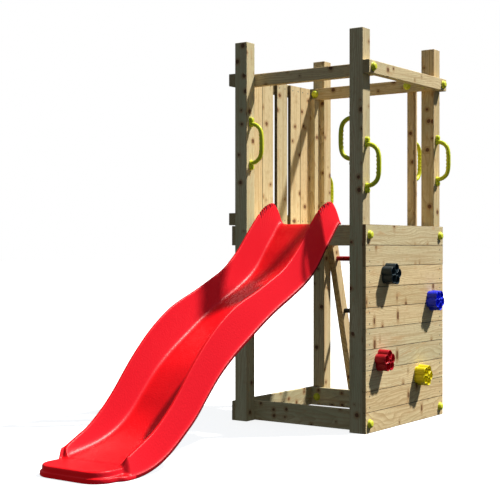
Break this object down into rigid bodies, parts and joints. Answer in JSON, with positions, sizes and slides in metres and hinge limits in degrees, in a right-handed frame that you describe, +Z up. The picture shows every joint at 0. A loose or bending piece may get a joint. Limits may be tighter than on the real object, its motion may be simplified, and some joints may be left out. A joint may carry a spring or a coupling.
{
  "type": "wave slide play tower",
  "caption": "Timber play tower with a raised deck, a wavy slide, a climbing wall with holds, a leaning ladder and hand grips.",
  "frame": {"origin": "on the ground, in the middle of the footprint's bounding box", "axes": "+Z up; the slide runs down towards -Y, the ladder is on the +Y side, the climbing wall faces +X and the closed side faces -X"},
  "size_m": [1.068, 3.2542, 2.328],
  "materials": {
    "posts": "planed, pressure treated, oiled look",
    "rails": "planed, pressure treated",
    "boards": "planed, pressure treated",
    "deck": "planed, pressure treated",
    "ladder_timber": "planed, pressure treated",
    "slide_plastic": "satin polyethylene with a fine grain",
    "grip_plastic": "satin lime polypropylene",
    "cap_plastic": "satin lime polypropylene",
    "hold_black": "grained resin",
    "hold_blue": "grained resin",
    "hold_red": "grained resin",
    "hold_yellow": "grained resin",
    "rung_red": "plastic sleeve",
    "rung_black": "plastic sleeve",
    "rung_blue": "plastic sleeve",
    "zinc_steel": "zinc plated"
  },
  "bodies": {
    "root": {"base_board_back": "boards", "base_board_front": "boards", "base_board_left": "boards", "bolt_caps": "cap_plastic", "climbing_hold_black": "hold_black", "climbing_hold_blue": "hold_blue", "climbing_hold_red": "hold_red", "climbing_hold_yellow": "hold_yellow", "coach_screws": "zinc_steel", "corner_batten": "rails", "deck_board_1": "deck", "deck_board_2": "deck", "deck_board_3": "deck", "deck_board_4": "deck", "deck_board_5": "deck", "deck_board_6": "deck", "deck_fascia_back": "boards", "deck_fascia_front": "boards", "deck_fascia_left": "boards", "deck_joist_left": "deck", "deck_joist_middle": "deck", "deck_joist_right": "deck", "hand_grip_front_left": "grip_plastic", "hand_grip_front_right": "grip_plastic", "hand_grip_ladder_left": "grip_plastic", "hand_grip_ladder_right": "grip_plastic", "hand_grip_wall_back": "grip_plastic", "hand_grip_wall_front": "grip_plastic", "ladder_rung_black": "rung_black", "ladder_rung_blue": "rung_blue", "ladder_rung_red": "rung_red", "ladder_stringer_left": "ladder_timber", "ladder_stringer_right": "ladder_timber", "ladder_upright": "rails", "post_back_left": "posts", "post_back_right": "posts", "post_front_left": "posts", "post_front_right": "posts", "side_board_1": "boards", "side_board_2": "boards", "side_board_3": "boards", "side_board_4": "boards", "side_board_5": "boards", "side_rail_left": "rails", "slide_chute": "slide_plastic", "top_rail_back": "rails", "top_rail_front": "rails", "top_rail_left": "rails", "top_rail_right": "rails", "wall_board_01": "boards", "wall_board_02": "boards", "wall_board_03": "boards", "wall_board_04": "boards", "wall_board_05": "boards", "wall_board_06": "boards", "wall_board_07": "boards", "wall_board_08": "boards", "wall_board_09": "boards", "wall_board_10": "boards", "wood_screws": "zinc_steel"}
  },
  "joints": []
}
